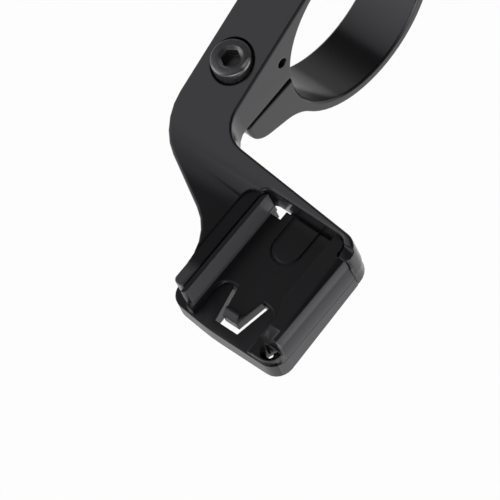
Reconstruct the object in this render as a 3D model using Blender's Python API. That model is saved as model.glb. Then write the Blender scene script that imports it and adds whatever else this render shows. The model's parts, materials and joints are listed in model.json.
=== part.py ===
"""Out-front mount that carries a bike computer ahead of a handlebar.

Frame: the origin is the centre of the handlebar bore. X runs along the bar, -Y points forward
to the cradle, and +Z is the side on which the computer sits. Lengths are written in millimetres
and multiplied by MM, because the scene is in metres.
"""

import math

import bmesh
import bpy

MM = 0.001

# Handlebar clamp
BAR_DIAMETER = 31.8 * MM
CLAMP_WALL = 1.8 * MM
CLAMP_WIDTH = 10.6 * MM
BORE_CHAMFER = 0.3 * MM
SPLIT_GAP = 0.3 * MM
SLIT_HEIGHT = 3.5 * MM
SLIT_MOUTH = 0.8 * MM
NOSE_RADIUS = 5.2 * MM
NOSE_LENGTH = 0.6 * MM
NOSE_RISE = 1.5 * MM
FLANK_SLOPE = math.radians(20)
FLANK_FILLET = 8.0 * MM

# Hinge behind the bar
PIN_DIAMETER = 2.5 * MM
LUG_RADIUS = 3.0 * MM
JAW_LUG_WIDTH = 3.2 * MM
PIN_RECESS = 0.4 * MM

# Clamp screw
SCREW_FORWARD = 21.0 * MM
SCREW_DIAMETER = 4.0 * MM
SCREW_LENGTH = 12.0 * MM
SCREW_HEAD_DIAMETER = 7.0 * MM
SCREW_HEAD_HEIGHT = 4.0 * MM
SCREW_SOCKET = 3.0 * MM
SCREW_SOCKET_DEPTH = 2.2 * MM
SCREW_SEAT_HEIGHT = 9.3 * MM
SEAT_CLEARANCE = 0.35 * MM
SHANK_CLEARANCE = 0.3 * MM
TETHER_HOLE_DIAMETER = 1.9 * MM
TETHER_HOLE_WALL = 1.4 * MM
TETHER_HOLE_RISE = math.radians(29)

# Arm and head frame
ARM_SLOPE = math.radians(16.7)
HEAD_TOP = 7.5 * MM
HEAD_THICKNESS = 5.5 * MM
BEND_RADIUS = 25.0 * MM
NECK_START = 27.0 * MM
NECK_LENGTH = 9.0 * MM
NECK_FILLET = 4.5 * MM
ARM_EDGE = 0.45 * MM
LEFT_BAR_WIDTH = 2.1 * MM
BACK_BAR_WIDTH = 2.65 * MM
BACK_EDGE_SLANT = 2.6 * MM
SIDESTEP_START = 35.0 * MM
SIDESTEP_ANGLE = math.radians(28.6)
SIDESTEP_RADIUS = 10.0 * MM
HOOK_LENGTH = 2.7 * MM
HOOK_CORNER = 3.4 * MM
SKIRT_LENGTH = 6.0 * MM
SKIRT_STEP = 0.08 * MM
WINDOW_CORNER = 1.8 * MM
WINDOW_RECESS_MARGIN = 2.4 * MM
WINDOW_RECESS_DEPTH = 0.3 * MM

# Cradle tray
TRAY_SIDEWAYS = 24.8 * MM
TRAY_BACK = 33.7 * MM
TRAY_WIDTH = 23.7 * MM
TRAY_LENGTH = 23.6 * MM
TRAY_CORNER = 3.0 * MM
TRAY_CLEARANCE = 0.3 * MM
FRONT_BOW = 0.9 * MM
FRONT_BOW_OFFSET = 3.0 * MM
FRONT_BOW_RADIUS = 40.0 * MM
FLANGE_THICKNESS = 3.4 * MM
FLANGE_LEDGE = 3.7 * MM
UNDER_RISE = 1.6 * MM
CHANNEL_WIDTH = 14.1 * MM
LEFT_RAIL = 0.8 * MM
RAIL_HEIGHT = 4.0 * MM
RAIL_DRAFT = 0.03 * MM
RAIL_CORNER = 0.5 * MM
LEFT_RAIL_SETBACK = 0.4 * MM
LEFT_RAIL_ROUND = 1.1 * MM
LEAD_IN_LENGTH = 2.0 * MM
LEAD_IN_SKEW = 2.1 * MM
LEAD_IN_FLARE = 1.45 * MM
LEAD_IN_FLARE_LENGTH = 5.5 * MM
LEAD_IN_WIDTH = 3.45 * MM
RAIL_END_SETBACK = 2.75 * MM
RAIL_FOOT = 0.45 * MM
CORNER_DROP = 1.9 * MM
CORNER_POCKET_INSET = 1.4 * MM
CORNER_POCKET_START = 0.22
SIDE_POCKET_SHARE = 0.42
FLOOR_THICKNESS = 2.0 * MM
UNDER_WALL = 2.2 * MM
FRONT_WALL = 1.7 * MM
RIB_THICKNESS = 1.2 * MM

# Spring tongue and its catch
TONGUE_ROOT_WIDTH = 5.1 * MM
TONGUE_TIP_WIDTH = 2.9 * MM
TONGUE_LENGTH = 5.2 * MM
TONGUE_SLOT = 1.15 * MM
CATCH_HEIGHT = 1.0 * MM
CATCH_INSET = 0.05 * MM
ARCH_WIDTH = 12.2 * MM
ARCH_DEPTH = 0.8 * MM
ARCH_CORNER = 2.5 * MM

# Pad at the back of the channel and the core holes
PAD_WIDTH = 4.8 * MM
PAD_LENGTH = 7.9 * MM
PAD_GROOVE = 0.6 * MM
CORE_HOLE_WIDTH = 2.35 * MM
CORE_HOLE_LENGTH = 1.6 * MM
CORE_RELIEF = 2.6 * MM
SMALL_HOLE_DIAMETER = 1.2 * MM
SMALL_HOLE_EDGE = 1.45 * MM
SMALL_HOLE_SKIN = 1.0 * MM

# Screws that hold the tray
TRAY_SCREW_DIAMETER = 1.8 * MM
TRAY_SCREW_LENGTH = 6.0 * MM
TRAY_SCREW_HEAD_DIAMETER = 3.2 * MM
TRAY_SCREW_HEAD_HEIGHT = 1.2 * MM
TRAY_SCREW_SUNK = 0.15 * MM
TRAY_SCREW_SOCKET = 0.95 * MM
TRAY_SCREW_SOCKET_DEPTH = 0.85 * MM
TRAY_SCREW_SPACING = 7.5 * MM
TRAY_SCREW_FIRST = 3.4 * MM
THREAD_CLEARANCE = 0.15 * MM

# Steps between the stations along a contoured plate
BEND_STATION = 1.2 * MM
NECK_STATION = 1.5 * MM
NOSE_STATION = 0.5 * MM

# Sizes that follow from the driving ones
BORE = BAR_DIAMETER / 2
BAND = BORE + CLAMP_WALL
HALF_WIDTH = CLAMP_WIDTH / 2
HINGE_Y = BORE + LUG_RADIUS + SPLIT_GAP
HEAD_UNDER = HEAD_TOP - HEAD_THICKNESS
TRAY_LEFT = TRAY_SIDEWAYS - TRAY_WIDTH / 2
TRAY_RIGHT = TRAY_SIDEWAYS + TRAY_WIDTH / 2
WINDOW_LEFT = TRAY_LEFT + FLANGE_LEDGE
BLOCK_LEFT = WINDOW_LEFT + TRAY_CLEARANCE
CHANNEL_LEFT = BLOCK_LEFT + LEFT_RAIL
CHANNEL_RIGHT = CHANNEL_LEFT + CHANNEL_WIDTH
CHANNEL_MIDDLE = (CHANNEL_LEFT + CHANNEL_RIGHT) / 2
RIGHT_RAIL = TRAY_RIGHT - CHANNEL_RIGHT
TRAY_FRONT = -TRAY_BACK - TRAY_LENGTH
TRAY_TOP = HEAD_TOP - TRAY_CLEARANCE
FLANGE_TOP = HEAD_UNDER - TRAY_CLEARANCE
TRAY_UNDER = FLANGE_TOP - FLANGE_THICKNESS
FLOOR = TRAY_TOP - RAIL_HEIGHT
WINDOW_BACK = -TRAY_BACK - 2 * TRAY_CLEARANCE
HOOK_RIGHT = TRAY_RIGHT
HOOK_LEFT = HOOK_RIGHT - LEFT_BAR_WIDTH
HOOK_END = WINDOW_BACK - HOOK_LENGTH
BLOCK_BACK = WINDOW_BACK - TRAY_CLEARANCE
HOOK_BACK = -TRAY_BACK + BACK_BAR_WIDTH - BACK_EDGE_SLANT
LEFT_FRONT = TRAY_FRONT + FRONT_BOW
RAIL_END = TRAY_FRONT + RAIL_END_SETBACK
TONGUE_ROOT = TRAY_FRONT + TONGUE_LENGTH + TONGUE_SLOT + FRONT_WALL
PITCH = math.radians(5)
OVERSHOOT = 2.0 * MM


def arc(centre, radius, start, end, pitch=PITCH):
    """Points along an arc, both ends included; the angles are in radians."""
    steps = max(2, math.ceil(abs(end - start) / pitch))
    angles = [start + (end - start) * i / steps for i in range(steps + 1)]
    return [(centre[0] + radius * math.cos(a), centre[1] + radius * math.sin(a)) for a in angles]


def rounded(corners):
    """An outline through corners (a, b, radius), each one rounded by an arc of its radius.

    A radius is limited where its arc and the next one don't both fit on the side between them.
    """
    count = len(corners)
    turns = []
    for i, (a, b, _) in enumerate(corners):
        before = corners[i - 1]
        after = corners[(i + 1) % count]
        angle_before = math.atan2(before[1] - b, before[0] - a)
        angle_after = math.atan2(after[1] - b, after[0] - a)
        opening = (angle_after - angle_before + math.pi) % (2 * math.pi) - math.pi
        turns.append((angle_before, opening))
    reaches = [radius / math.tan(abs(turn[1]) / 2) for (_, _, radius), turn in zip(corners, turns)]
    fitted = list(reaches)
    for i in range(count):
        j = (i + 1) % count
        side = math.dist(corners[i][:2], corners[j][:2])
        wanted = reaches[i] + reaches[j]
        if wanted > 0.98 * side:
            fitted[i] = min(fitted[i], reaches[i] * 0.98 * side / wanted)
            fitted[j] = min(fitted[j], reaches[j] * 0.98 * side / wanted)
    points = []
    for (a, b, _), (angle_before, opening), reach in zip(corners, turns, fitted):
        if reach == 0:
            points.append((a, b))
            continue
        radius = reach * math.tan(abs(opening) / 2)
        middle = angle_before + opening / 2
        far = radius / math.sin(abs(opening) / 2)
        centre = (a + far * math.cos(middle), b + far * math.sin(middle))
        turn = math.copysign(math.pi - abs(opening), opening)
        start = angle_before - math.copysign(math.pi / 2, opening)
        points += arc(centre, radius, start, start - turn, PITCH * 3)
    return points


def counterclockwise(outline):
    """The same outline, turned so that it runs counterclockwise."""
    area = sum(a[0] * b[1] - b[0] * a[1] for a, b in zip(outline, outline[1:] + outline[:1]))
    return outline if area > 0 else outline[::-1]


def inset(outline, distance):
    """A counterclockwise outline moved inward by a distance, mitred at each point."""
    moved = []
    for i, point in enumerate(outline):
        before = outline[i - 1]
        after = outline[(i + 1) % len(outline)]
        normals = []
        for first, second in ((before, point), (point, after)):
            run = (second[0] - first[0], second[1] - first[1])
            length = math.hypot(*run)
            normals.append((-run[1] / length, run[0] / length))
        share = 1 + normals[0][0] * normals[1][0] + normals[0][1] * normals[1][1]
        along = [distance * (normals[0][k] + normals[1][k]) / share for k in (0, 1)]
        moved.append((point[0] + along[0], point[1] + along[1]))
    return moved


def finish_mesh(mesh, name):
    """Turn a closed bmesh into an object whose faces point outward."""
    bmesh.ops.recalc_face_normals(mesh, faces=mesh.faces)
    data = bpy.data.meshes.new(name)
    mesh.to_mesh(data)
    mesh.free()
    made = bpy.data.objects.new(name, data)
    bpy.context.scene.collection.objects.link(made)
    return made


def prism(name, outline, axis, low, high):
    """An outline extruded along an axis: its two coordinates are (Y, Z), (X, Z) or (X, Y)."""
    place = {
        "X": lambda a, b, along: (along, a, b),
        "Y": lambda a, b, along: (a, along, b),
        "Z": lambda a, b, along: (a, b, along),
    }[axis]
    mesh = bmesh.new()
    rings = [[mesh.verts.new(place(a, b, along)) for a, b in outline] for along in (low, high)]
    mesh.faces.new(rings[0])
    mesh.faces.new(rings[1])
    for i in range(len(outline)):
        j = (i + 1) % len(outline)
        mesh.faces.new((rings[0][i], rings[0][j], rings[1][j], rings[1][i]))
    return finish_mesh(mesh, name)


def hexagon(across):
    """Corners of a hexagon whose opposite sides are the given distance apart."""
    reach = across / 2 / math.cos(math.radians(30))
    angles = [math.radians(60 * i) for i in range(6)]
    return [(reach * math.cos(a), reach * math.sin(a)) for a in angles]


def block(name, x, y, z):
    """A box between the given pairs of limits."""
    return prism(name, [(x[0], y[0]), (x[1], y[0]), (x[1], y[1]), (x[0], y[1])], "Z", z[0], z[1])


def cylinder(name, centre, radius, axis, low, high, pitch=PITCH):
    """A round rod along an axis; the centre gives the two other coordinates."""
    outline = arc(centre, radius, 0, 2 * math.pi, pitch)[:-1]
    return prism(name, outline, axis, low, high)


def turned(name, profile, place, pitch=PITCH * 2):
    """A profile of (radius, height) pairs turned about the vertical through place.

    The profile starts and ends on the axis, and its heights are measured from place.
    """
    steps = round(2 * math.pi / pitch)
    mesh = bmesh.new()
    rings = []
    for radius, height in profile:
        if radius == 0:
            rings.append([mesh.verts.new((place[0], place[1], place[2] + height))])
            continue
        ring = []
        for i in range(steps):
            angle = 2 * math.pi * i / steps
            x = place[0] + radius * math.cos(angle)
            y = place[1] + radius * math.sin(angle)
            ring.append(mesh.verts.new((x, y, place[2] + height)))
        rings.append(ring)
    for lower, upper in zip(rings, rings[1:]):
        for i in range(steps):
            j = (i + 1) % steps
            if len(lower) == 1:
                mesh.faces.new((lower[0], upper[i], upper[j]))
            elif len(upper) == 1:
                mesh.faces.new((lower[i], upper[0], lower[j]))
            else:
                mesh.faces.new((lower[i], upper[i], upper[j], lower[j]))
    return finish_mesh(mesh, name)


def combine(target, tool, operation):
    """Apply a Boolean of the tool to the target, and remove the tool."""
    change = target.modifiers.new("combine", "BOOLEAN")
    change.operation = operation
    change.solver = "EXACT"
    change.object = tool
    with bpy.context.temp_override(object=target, active_object=target):
        bpy.ops.object.modifier_apply(modifier=change.name)
    bpy.data.objects.remove(tool)


def cut(target, tool):
    combine(target, tool, "DIFFERENCE")


def join(target, tool):
    combine(target, tool, "UNION")


def contoured_plate(name, outline, under, over, edge, stations):
    """A plate with a plan outline, between the heights under(y) and over(y), with round edges.

    Rings of the outline are stacked from the underside to the top. The first and the last few
    are inset, which rounds the edges. The stack is sliced at the stations, and then each point is
    lifted to its height. Where the plate is thin, the rounding takes at most a third of it.
    """
    outline = counterclockwise(outline)
    angles = [math.radians(a) for a in (0, 30, 60, 90)]
    lower = [(edge * (1 - math.sin(a)), edge * (1 - math.cos(a))) for a in angles]
    layers = [(shift, drop, "under") for shift, drop in lower]
    layers += [(shift, drop, "over") for shift, drop in reversed(lower)]
    mesh = bmesh.new()
    rings = []
    for level, (shift, _, _) in enumerate(layers):
        rings.append([mesh.verts.new((x, y, level)) for x, y in inset(outline, shift)])
    for below, above in zip(rings, rings[1:]):
        for i in range(len(outline)):
            j = (i + 1) % len(outline)
            mesh.faces.new((below[i], below[j], above[j], above[i]))
    mesh.faces.new(rings[0])
    mesh.faces.new(rings[-1])
    low_end = min(y for _, y in outline)
    high_end = max(y for _, y in outline)
    for station in stations:
        if low_end < station < high_end:
            everything = mesh.verts[:] + mesh.edges[:] + mesh.faces[:]
            bmesh.ops.bisect_plane(
                mesh, geom=everything, dist=0.01 * MM, plane_co=(0, station, 0), plane_no=(0, 1, 0)
            )

    def height(y, level):
        _, drop, side = layers[level]
        room = (over(y) - under(y)) / 3
        if side == "under":
            return under(y) + min(drop, room)
        return over(y) - min(drop, room)

    for point in mesh.verts:
        level = min(int(point.co.z + 1e-6), len(layers) - 2)
        share = point.co.z - level
        low = height(point.co.y, level)
        point.co.z = low + share * (height(point.co.y, level + 1) - low)
    bmesh.ops.remove_doubles(mesh, verts=mesh.verts, dist=0.002 * MM)
    bmesh.ops.triangulate(mesh, faces=mesh.faces)
    return finish_mesh(mesh, name)


def stations_along(start, end, step):
    """Evenly spaced places from start to end."""
    count = max(1, round(abs(end - start) / step))
    return [start + (end - start) * i / count for i in range(count + 1)]


def round_stations(radius, start, end):
    """Places along Y that follow a circle about the bar in even angles from the vertical."""
    count = max(2, math.ceil(abs(end - start) / PITCH))
    angles = [start + (end - start) * i / count for i in range(count + 1)]
    return [radius * math.sin(a) for a in angles]


def circle_height(radius, y):
    return math.sqrt(max(radius * radius - y * y, 0))


# Top surface of the arm: round over the bar, then a sloping flat, a bend and the level head
SLOPE_RISE = math.tan(ARM_SLOPE)
SLOPE_AT_BAR = BAND / math.cos(ARM_SLOPE)
BEND_MIDDLE = (HEAD_TOP - SLOPE_AT_BAR) / SLOPE_RISE
BEND_FRONT = BEND_MIDDLE - BEND_RADIUS * math.tan(ARM_SLOPE / 2)
BEND_REAR = BEND_FRONT + BEND_RADIUS * math.sin(ARM_SLOPE)


def top_of_arm(y):
    if y > -BAND * math.sin(ARM_SLOPE):
        return circle_height(BAND, y)
    if y > BEND_REAR:
        return SLOPE_AT_BAR + SLOPE_RISE * y
    if y > BEND_FRONT:
        return HEAD_TOP + BEND_RADIUS - math.sqrt(BEND_RADIUS**2 - (y - BEND_FRONT) ** 2)
    return HEAD_TOP


def under_arm(y):
    """The underside: it hugs the slit, then sweeps to the thinner head. The bore is cut later."""
    if y > -BORE / 2:
        return SPLIT_GAP / 2
    if y > -NECK_START:
        return SLIT_HEIGHT
    share = min(1, (-NECK_START - y) / NECK_LENGTH)
    return SLIT_HEIGHT + (HEAD_UNDER - SLIT_HEIGHT) * (1 - math.cos(math.pi * share)) / 2


def arm_outline():
    """Plan of the arm: a straight bar, an S-bend to the side, and an L around the tray."""
    bar_left = WINDOW_LEFT - LEFT_BAR_WIDTH
    back_edge = -TRAY_BACK + BACK_BAR_WIDTH
    lobe_end = LEFT_FRONT + TRAY_CLEARANCE * 4
    sidestep_end = -SIDESTEP_START - (bar_left + HALF_WIDTH) * math.tan(SIDESTEP_ANGLE)
    return rounded([
        (HALF_WIDTH, BAND - ARM_EDGE, ARM_EDGE * 1.5),
        (-HALF_WIDTH, BAND - ARM_EDGE, ARM_EDGE * 1.5),
        (-HALF_WIDTH, -SIDESTEP_START, SIDESTEP_RADIUS),
        (bar_left, sidestep_end, SIDESTEP_RADIUS),
        (bar_left, lobe_end, LEFT_BAR_WIDTH * 0.45),
        (WINDOW_LEFT, lobe_end, ARM_EDGE * 1.5),
        (WINDOW_LEFT, WINDOW_BACK, WINDOW_CORNER),
        (HOOK_LEFT, WINDOW_BACK, WINDOW_CORNER),
        (HOOK_LEFT, HOOK_END, ARM_EDGE * 1.5),
        (HOOK_RIGHT, HOOK_END, ARM_EDGE * 1.5),
        (HOOK_RIGHT, HOOK_BACK, HOOK_CORNER),
        (HALF_WIDTH, back_edge, NECK_FILLET),
    ])


def make_arm():
    """The one-piece arm with the upper half of the clamp and the frame around the tray."""
    stations = round_stations(BAND, -ARM_SLOPE, math.radians(88))
    stations += stations_along(BEND_FRONT, BEND_REAR, BEND_STATION)
    stations += stations_along(-NECK_START - NECK_LENGTH, -NECK_START, NECK_STATION)
    stations += [-BORE / 2 - NOSE_STATION, -BORE / 2 + NOSE_STATION]
    arm = contoured_plate("bracket_arm", arm_outline(), under_arm, top_of_arm, ARM_EDGE, stations)
    join(arm, hook_skirt())
    outer = HALF_WIDTH - BORE_CHAMFER / 2
    for side in (-1, 1):
        inner_face = side * (JAW_LUG_WIDTH / 2 + SPLIT_GAP)
        limits = sorted((inner_face, side * outer))
        join(arm, prism("lug", hinge_lug(1), "X", *limits))
    clear = JAW_LUG_WIDTH / 2 + SPLIT_GAP
    cut(arm, cylinder("lug room", (HINGE_Y, 0), LUG_RADIUS + SPLIT_GAP, "X", -clear, clear))
    cut(arm, bar_cutter())
    cut(arm, cylinder("pin hole", (HINGE_Y, 0), PIN_DIAMETER / 2 + SPLIT_GAP, "X", -BAND, BAND))
    screw = (0, -SCREW_FORWARD)
    seat = SCREW_HEAD_DIAMETER / 2 + SEAT_CLEARANCE
    cut(arm, cylinder("screw seat", screw, seat, "Z", SCREW_SEAT_HEIGHT, BAND + OVERSHOOT))
    shank = SCREW_DIAMETER / 2 + SHANK_CLEARANCE
    cut(arm, cylinder("screw hole", screw, shank, "Z", -BAND, BAND))
    tether = TETHER_HOLE_DIAMETER / 2
    reach = BORE + TETHER_HOLE_WALL + tether
    centre = (-reach * math.cos(TETHER_HOLE_RISE), reach * math.sin(TETHER_HOLE_RISE))
    cut(arm, cylinder("tether hole", centre, tether, "X", -BAND, BAND, PITCH * 3))
    cut(arm, window_recess())
    for place in tray_screw_places():
        pilot = TRAY_SCREW_DIAMETER / 2 + THREAD_CLEARANCE
        top = under_tray(place[1]) + TRAY_SCREW_LENGTH + TRAY_CLEARANCE
        cut(arm, cylinder("pilot hole", place, pilot, "Z", TRAY_UNDER, top, PITCH * 3))
    return arm


def hook_skirt():
    """The hook runs down beside the tray's corner as far as the tray's underside."""
    left = HOOK_RIGHT - SKIRT_LENGTH
    slant = BACK_EDGE_SLANT / (HOOK_RIGHT - HALF_WIDTH)
    inner = WINDOW_BACK + SKIRT_STEP * 2
    outline = rounded([
        (HOOK_LEFT, HOOK_END, 0),
        (HOOK_RIGHT, HOOK_END, 0),
        (HOOK_RIGHT, HOOK_BACK, HOOK_CORNER),
        (left, HOOK_BACK + slant * SKIRT_LENGTH, 0),
        (left, inner, 0),
        (HOOK_LEFT, inner, WINDOW_CORNER),
    ])
    plan = inset(counterclockwise(outline), SKIRT_STEP)
    return prism("hook skirt", plan, "Z", under_tray(HOOK_END), HEAD_TOP - HEAD_THICKNESS / 2)


def hinge_lug(side):
    """Side view of a lug round the pin, with a web to the band; side is 1 above, -1 below."""
    web = math.radians(18)
    start = math.radians(75)
    end = math.radians(-180)
    points = [(BAND * math.cos(web), side * BAND * math.sin(web))]
    points += [(y, side * z) for y, z in arc((HINGE_Y, 0), LUG_RADIUS, start, end)]
    points += [(BORE + CLAMP_WALL / 3, side * SPLIT_GAP)]
    return points


def bar_cutter():
    """A rod of the bar's size, wider at both faces of the clamp to chamfer the bore."""
    chamfer = HALF_WIDTH - BORE_CHAMFER
    mouth = HALF_WIDTH + BORE_CHAMFER
    stages = [(-mouth, 2), (-chamfer, 0), (chamfer, 0), (mouth, 2)]
    profile = [(0, stages[0][0])]
    profile += [(BORE + wider * BORE_CHAMFER, along) for along, wider in stages]
    profile += [(0, stages[-1][0])]
    rod = turned("bar", profile, (0, 0, 0), PITCH * 0.8)
    rod.rotation_euler = (0, math.radians(90), 0)
    bpy.context.view_layer.update()
    return rod


def window_recess():
    """The shallow step in the head's top around the opening for the tray."""
    left = WINDOW_LEFT - WINDOW_RECESS_MARGIN
    back = WINDOW_BACK - WINDOW_RECESS_MARGIN / 3
    outline = rounded([
        (left, TRAY_FRONT, 0),
        (HOOK_RIGHT + OVERSHOOT, TRAY_FRONT, 0),
        (HOOK_RIGHT + OVERSHOOT, back, 0),
        (left, back, WINDOW_CORNER + WINDOW_RECESS_MARGIN / 3),
    ])
    return prism("window recess", outline, "Z", HEAD_TOP - WINDOW_RECESS_DEPTH, BAND)


def top_of_jaw(y):
    """The jaw's upper side: the slit face, which closes toward the nose. The bore is cut later."""
    if y > -BORE / 2:
        return -SPLIT_GAP / 2
    share = min(1, max(0, (-BORE - y) / (SCREW_FORWARD + NOSE_LENGTH + NOSE_RADIUS / 2 - BORE)))
    return SLIT_HEIGHT - SLIT_MOUTH + (SLIT_MOUTH - SPLIT_GAP) * share


def jaw_flank():
    """The nose, the flank below it and the fillet into the band, as tangent points and centres."""
    nose = (-SCREW_FORWARD - NOSE_LENGTH, NOSE_RISE)
    down = (-math.sin(FLANK_SLOPE), -math.cos(FLANK_SLOPE))
    along = (math.cos(FLANK_SLOPE), -math.sin(FLANK_SLOPE))
    start = (nose[0] + NOSE_RADIUS * down[0], nose[1] + NOSE_RADIUS * down[1])
    base = (start[0] + FLANK_FILLET * down[0], start[1] + FLANK_FILLET * down[1])
    reach = BAND + FLANK_FILLET
    half = base[0] * along[0] + base[1] * along[1]
    run = -half - math.sqrt(half * half - (base[0] ** 2 + base[1] ** 2 - reach * reach))
    centre = (base[0] + run * along[0], base[1] + run * along[1])
    end = (start[0] + run * along[0], start[1] + run * along[1])
    touch = (centre[0] * BAND / reach, centre[1] * BAND / reach)
    return nose, start, end, centre, touch


def under_jaw(y):
    nose, start, end, centre, touch = jaw_flank()
    if y > touch[0]:
        return -circle_height(BAND, y)
    if y > end[0]:
        return centre[1] + circle_height(FLANK_FILLET, y - centre[0])
    if y > start[0]:
        return start[1] - math.tan(FLANK_SLOPE) * (y - start[0])
    return nose[1] - circle_height(NOSE_RADIUS, y - nose[0])


def make_jaw():
    """The lower half of the clamp, hinged at the rear and drawn up by the screw at its nose."""
    nose, start, end, _, touch = jaw_flank()
    tip = nose[0] - NOSE_RADIUS * 0.99
    outline = rounded([
        (HALF_WIDTH, tip, ARM_EDGE * 1.5),
        (HALF_WIDTH, BAND - ARM_EDGE, ARM_EDGE * 1.5),
        (-HALF_WIDTH, BAND - ARM_EDGE, ARM_EDGE * 1.5),
        (-HALF_WIDTH, tip, ARM_EDGE * 1.5),
    ])
    stations = [nose[0] + s for s in round_stations(NOSE_RADIUS, math.radians(-82), 0)]
    stations += stations_along(end[0], touch[0], NOSE_STATION)
    stations += round_stations(BAND, math.asin(touch[0] / BAND), math.radians(88))
    stations += [start[0], -SCREW_FORWARD - NOSE_LENGTH - NOSE_RADIUS / 2, -BORE]
    stations += [-BORE / 2 - NOSE_STATION, -BORE / 2 + NOSE_STATION]
    jaw = contoured_plate("clamp_jaw", outline, under_jaw, top_of_jaw, ARM_EDGE, stations)
    half_lug = JAW_LUG_WIDTH / 2
    for side in (-1, 1):
        limits = sorted((side * half_lug, side * (HALF_WIDTH + OVERSHOOT)))
        cut(jaw, cylinder("lug room", (HINGE_Y, 0), LUG_RADIUS + SPLIT_GAP, "X", *limits))
    join(jaw, prism("lug", hinge_lug(-1), "X", -half_lug, half_lug))
    cut(jaw, bar_cutter())
    cut(jaw, cylinder("pin hole", (HINGE_Y, 0), PIN_DIAMETER / 2 + SPLIT_GAP, "X", -BAND, BAND))
    thread = SCREW_DIAMETER / 2 + SHANK_CLEARANCE
    cut(jaw, cylinder("screw thread", (0, -SCREW_FORWARD), thread, "Z", -BAND, BAND))
    return jaw


def make_hinge_pin():
    """The plain pin through the three lugs, a little short of both faces."""
    reach = HALF_WIDTH - PIN_RECESS
    chamfer = PIN_DIAMETER / 10
    radius = PIN_DIAMETER / 2
    profile = [
        (0, -reach), (radius - chamfer, -reach), (radius, -reach + chamfer),
        (radius, reach - chamfer), (radius - chamfer, reach), (0, reach),
    ]
    pin = turned("hinge_pin", profile, (0, 0, 0), PITCH * 3)
    pin.rotation_euler = (0, math.radians(90), 0)
    pin.location = (0, HINGE_Y, 0)
    return pin


def make_clamp_screw():
    """The socket head cap screw, which stands in its seat with the head proud of the arm."""
    seat = SCREW_SEAT_HEIGHT + SPLIT_GAP
    head = SCREW_HEAD_DIAMETER / 2
    shank = SCREW_DIAMETER / 2
    edge = SCREW_HEAD_HEIGHT / 10
    profile = [
        (0, -SCREW_LENGTH), (shank - edge, -SCREW_LENGTH), (shank, -SCREW_LENGTH + edge), (shank, 0),
        (head - edge / 2, 0), (head, edge / 2), (head, SCREW_HEAD_HEIGHT - edge),
        (head - edge / 3, SCREW_HEAD_HEIGHT - edge / 3), (head - edge, SCREW_HEAD_HEIGHT),
        (0, SCREW_HEAD_HEIGHT),
    ]
    screw = turned("clamp_screw", profile, (0, 0, 0))
    floor = SCREW_HEAD_HEIGHT - SCREW_SOCKET_DEPTH
    cut(screw, prism("socket", hexagon(SCREW_SOCKET), "Z", floor, SCREW_HEAD_HEIGHT + OVERSHOOT))
    screw.location = (0, -SCREW_FORWARD, seat)
    return screw


def tray_screw_places():
    """Centres of the two small screws in the flange under the arm, rear one first."""
    x = TRAY_LEFT + TRAY_SCREW_HEAD_DIAMETER / 2 + TRAY_CLEARANCE * 2
    rear = -TRAY_BACK - TRAY_SCREW_FIRST
    return [(x, rear), (x, rear - TRAY_SCREW_SPACING)]


def make_tray_screw(name, place):
    """A small countersunk screw driven up through the flange into the arm."""
    head = TRAY_SCREW_HEAD_DIAMETER / 2
    shank = TRAY_SCREW_DIAMETER / 2
    tip = shank / 2
    profile = [
        (0, 0), (head, 0), (head, TRAY_SCREW_HEAD_HEIGHT / 5), (shank, TRAY_SCREW_HEAD_HEIGHT),
        (shank, TRAY_SCREW_LENGTH - tip), (tip, TRAY_SCREW_LENGTH), (0, TRAY_SCREW_LENGTH),
    ]
    screw = turned(name, profile, (0, 0, 0), PITCH * 3)
    cut(screw, prism("drive", hexagon(TRAY_SCREW_SOCKET), "Z", -OVERSHOOT, TRAY_SCREW_SOCKET_DEPTH))
    screw.location = (place[0], place[1], under_tray(place[1]) + TRAY_SCREW_SUNK)
    return screw


def make_tray():
    """The moulded cradle: a flange below the arm, two rails, a channel and a spring tongue."""
    flange = tray_outline(TRAY_LEFT, -TRAY_BACK, 0, TRAY_CORNER, TRAY_CORNER)
    tray = prism("cradle_tray", flange, "Z", TRAY_UNDER, FLANGE_TOP)
    join(tray, upper_block())
    slope_underside(tray)
    cut(tray, hook_room())
    cut(tray, channel_cutter())
    cut_rail_ends(tray)
    cut_arch_and_tongue(tray)
    cut_pad_groove(tray)
    cut_core_holes(tray)
    cut_underside(tray)
    join(tray, catch())
    return tray


def tray_outline(left, back, draft, back_corner, front_corner):
    """Plan of the tray: its front edge bows forward from the left corner to past the middle."""
    return rounded([
        (left, back, back_corner),
        (left, LEFT_FRONT + draft, front_corner),
        (TRAY_SIDEWAYS - FRONT_BOW_OFFSET, TRAY_FRONT + draft, FRONT_BOW_RADIUS),
        (TRAY_RIGHT - draft, TRAY_FRONT + draft, TRAY_CORNER - draft),
        (TRAY_RIGHT - draft, back, TRAY_CORNER - draft),
    ])


def upper_block():
    """What stands up through the window of the arm, before the channel is cut."""
    corner = WINDOW_CORNER - TRAY_CLEARANCE
    outline = tray_outline(BLOCK_LEFT, BLOCK_BACK, RAIL_DRAFT, corner, RAIL_CORNER)
    return prism("upper block", outline, "Z", FLANGE_TOP - FLANGE_THICKNESS / 2, TRAY_TOP)


def under_tray(y):
    """Height of the tray's underside, which rises toward the back."""
    return TRAY_UNDER + UNDER_RISE * (y - TRAY_FRONT) / TRAY_LENGTH


def slope_underside(tray):
    front = TRAY_FRONT - OVERSHOOT
    back = -TRAY_BACK + OVERSHOOT
    deep = TRAY_UNDER - OVERSHOOT
    wedge = [(front, deep), (back, deep), (back, under_tray(back)), (front, under_tray(front))]
    cut(tray, prism("underside", wedge, "X", TRAY_LEFT - OVERSHOOT, TRAY_RIGHT + OVERSHOOT))


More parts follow.
